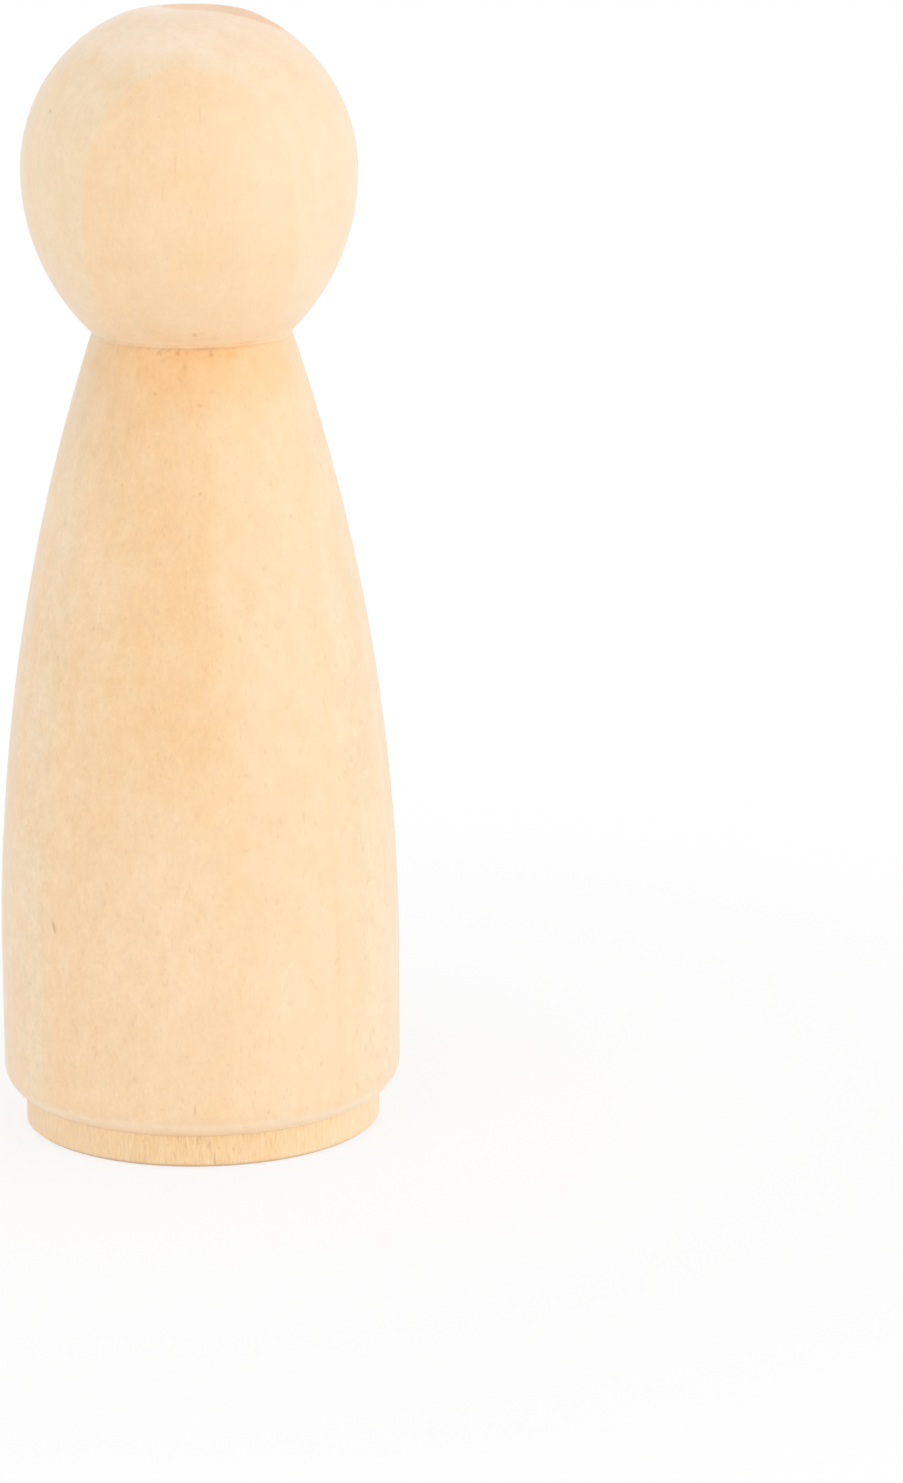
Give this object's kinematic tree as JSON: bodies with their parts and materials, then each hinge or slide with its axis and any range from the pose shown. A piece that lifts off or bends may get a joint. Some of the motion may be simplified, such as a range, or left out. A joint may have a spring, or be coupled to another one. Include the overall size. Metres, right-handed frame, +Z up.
{
  "type": "peg doll",
  "caption": "Plain turned wooden peg doll: a ball head doweled onto a bell-shaped body with a rounded hem and a set-back foot, standing on its flat base.",
  "frame": {"origin": "centre of the foot's flat underside", "axes": "+Z up the doll's turning axis, from the foot to the crown; -Y is the side that the picture shows"},
  "size_m": [0.0232, 0.0232, 0.0649],
  "materials": {
    "head_wood": "bare, fine sanded",
    "dowel_wood": "bare, fluted",
    "body_wood": "bare, fine sanded",
    "foot_wood": "bare, as turned"
  },
  "bodies": {
    "root": {"head": "head_wood", "neck_dowel": "dowel_wood", "body": "body_wood", "foot": "foot_wood"}
  },
  "joints": []
}
